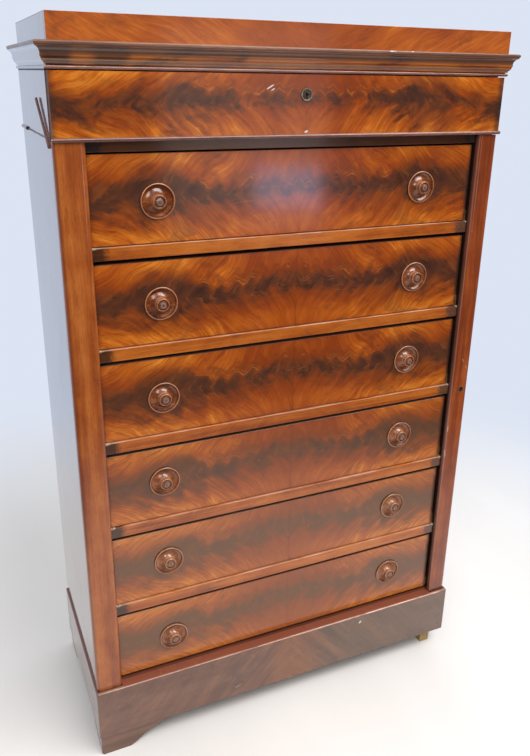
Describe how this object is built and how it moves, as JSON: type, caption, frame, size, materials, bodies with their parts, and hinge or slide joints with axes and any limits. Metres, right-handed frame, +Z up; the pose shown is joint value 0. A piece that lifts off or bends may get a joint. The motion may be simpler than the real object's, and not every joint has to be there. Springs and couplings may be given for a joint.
{
  "type": "chest of drawers",
  "caption": "Tall mahogany chest with a frieze drawer under the cornice, knobbed drawers below, and a hinged locking pilaster on the right.",
  "frame": {"origin": "on the floor, under the middle of the chest", "axes": "+Z up, front towards -Y, +X to the right of someone facing the chest"},
  "size_m": [0.937, 0.3926, 1.5065],
  "materials": {
    "flame_veneer": "French-polished flame mahogany veneer",
    "plain_mahogany": "French-polished straight-grained mahogany",
    "side_mahogany": "French-polished mahogany panel",
    "plinth_mahogany": "polished mahogany, dulled by wear",
    "turned_mahogany": "turned and polished mahogany",
    "drawer_oak": "plain unpolished oak",
    "carcass_poplar": "plain unpolished softwood",
    "raw_block": "bare sawn softwood",
    "aged_iron": "dark aged iron",
    "aged_brass": "dull aged brass"
  },
  "bodies": {
    "case": {"case_side_left": "side_mahogany", "case_side_right": "side_mahogany", "left_pilaster": "plain_mahogany", "case_top": "carcass_poplar", "case_bottom": "carcass_poplar", "drawer_rails": "plain_mahogany", "drawer_runners": "carcass_poplar", "drawer_stops": "carcass_poplar", "back_boards": "carcass_poplar", "cornice_rail": "plain_mahogany", "cornice_front": "flame_veneer", "cornice_returns": "plain_mahogany", "cornice_cap": "plain_mahogany", "cornice_beads": "plain_mahogany", "attic_front": "flame_veneer", "attic_ends_back_top": "plain_mahogany", "plinth_front": "plinth_mahogany", "plinth_sides_back": "plinth_mahogany", "plinth_blocks": "carcass_poplar", "bare_foot_block": "raw_block", "front_bracket_foot": "plinth_mahogany", "rear_bracket_feet": "plinth_mahogany", "side_beads": "plain_mahogany", "loose_bead_strip": "plain_mahogany", "hinge_case_leaves": "aged_iron"},
    "stile": {"locking_stile": "plain_mahogany", "hinge_stile_leaves": "aged_iron", "stile_lock": "aged_iron"},
    "stile_bolt": {"stile_bolt": "aged_iron"},
    "frieze_drawer": {"frieze_front": "flame_veneer", "frieze_walls": "drawer_oak", "frieze_bottom": "drawer_oak", "frieze_bead": "plain_mahogany", "frieze_escutcheon": "aged_brass", "frieze_lock": "aged_iron"},
    "frieze_bolt": {"frieze_bolt": "aged_iron"},
    "drawer_1": {"drawer_1_front": "flame_veneer", "drawer_1_walls": "drawer_oak", "drawer_1_bottom": "drawer_oak", "drawer_1_knobs": "turned_mahogany"},
    "drawer_2": {"drawer_2_front": "flame_veneer", "drawer_2_walls": "drawer_oak", "drawer_2_bottom": "drawer_oak", "drawer_2_knobs": "turned_mahogany"},
    "drawer_3": {"drawer_3_front": "flame_veneer", "drawer_3_walls": "drawer_oak", "drawer_3_bottom": "drawer_oak", "drawer_3_knobs": "turned_mahogany"},
    "drawer_4": {"drawer_4_front": "flame_veneer", "drawer_4_walls": "drawer_oak", "drawer_4_bottom": "drawer_oak", "drawer_4_knobs": "turned_mahogany"},
    "drawer_5": {"drawer_5_front": "flame_veneer", "drawer_5_walls": "drawer_oak", "drawer_5_bottom": "drawer_oak", "drawer_5_knobs": "turned_mahogany"},
    "drawer_6": {"drawer_6_front": "flame_veneer", "drawer_6_walls": "drawer_oak", "drawer_6_bottom": "drawer_oak", "drawer_6_knobs": "turned_mahogany"}
  },
  "joints": [
    {"name": "frieze_drawer_slide", "type": "slide", "parent": "case", "child": "frieze_drawer", "axis": [0, -1, 0], "range_m": [0, 0.28]},
    {"name": "frieze_bolt_throw", "type": "slide", "parent": "frieze_drawer", "child": "frieze_bolt", "axis": [0, 0, 1], "range_m": [0, 0.008]},
    {"name": "drawer_1_slide", "type": "slide", "parent": "case", "child": "drawer_1", "axis": [0, -1, 0], "range_m": [0, 0.28]},
    {"name": "drawer_2_slide", "type": "slide", "parent": "case", "child": "drawer_2", "axis": [0, -1, 0], "range_m": [0, 0.28]},
    {"name": "drawer_3_slide", "type": "slide", "parent": "case", "child": "drawer_3", "axis": [0, -1, 0], "range_m": [0, 0.28]},
    {"name": "drawer_4_slide", "type": "slide", "parent": "case", "child": "drawer_4", "axis": [0, -1, 0], "range_m": [0, 0.28]},
    {"name": "drawer_5_slide", "type": "slide", "parent": "case", "child": "drawer_5", "axis": [0, -1, 0], "range_m": [0, 0.28]},
    {"name": "drawer_6_slide", "type": "slide", "parent": "case", "child": "drawer_6", "axis": [0, -1, 0], "range_m": [0, 0.28]},
    {"name": "stile_hinge", "type": "hinge", "parent": "case", "child": "stile", "pos_m": [0.453, -0.1575, 0.742], "axis": [0, 0, 1], "range_deg": [0, 100]},
    {"name": "stile_bolt_throw", "type": "slide", "parent": "stile", "child": "stile_bolt", "axis": [-1, 0, 0], "range_m": [0, 0.008]}
  ]
}
